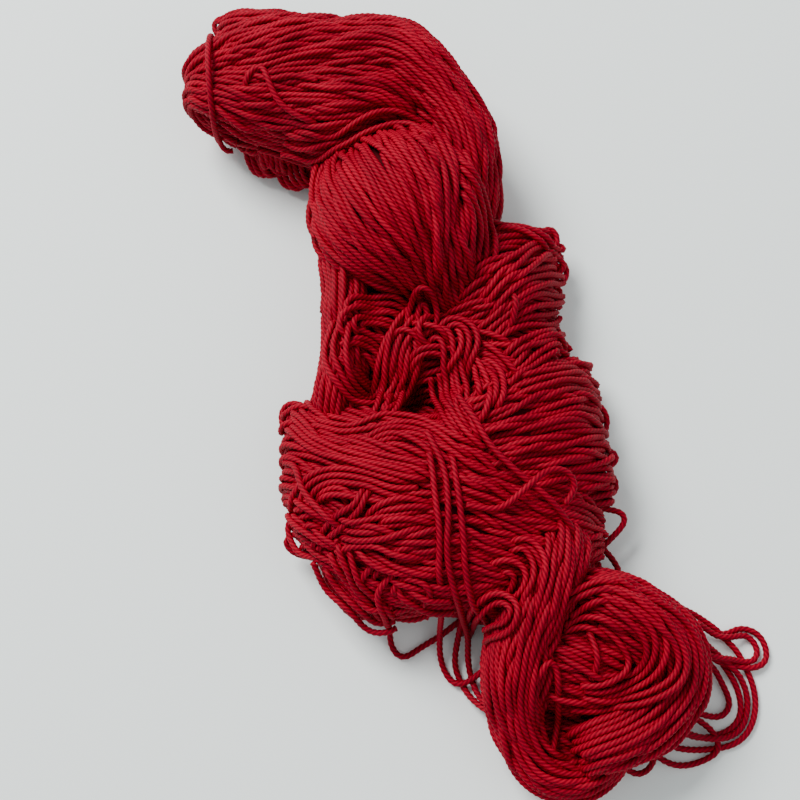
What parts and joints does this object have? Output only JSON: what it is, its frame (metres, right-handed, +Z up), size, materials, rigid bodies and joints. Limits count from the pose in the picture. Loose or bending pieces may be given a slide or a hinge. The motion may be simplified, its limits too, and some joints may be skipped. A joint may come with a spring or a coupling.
{
  "type": "skein of cotton yarn",
  "caption": "Loose, folded skein of crimson four-ply cotton yarn, tied round its head, with stray loops.",
  "frame": {"origin": "on the table top, under the middle of the skein's box", "axes": "+Z up from the table top, +Y along the skein towards its head, +X to the right"},
  "size_m": [0.2108, 0.2948, 0.0567],
  "materials": {
    "crimson_cotton": "matt, fuzzy, four plies twisted together",
    "crimson_cotton_tie": "matt, fuzzy, four plies twisted together"
  },
  "bodies": {
    "root": {"yarn_hank": "crimson_cotton", "yarn_tie": "crimson_cotton_tie"}
  },
  "joints": []
}
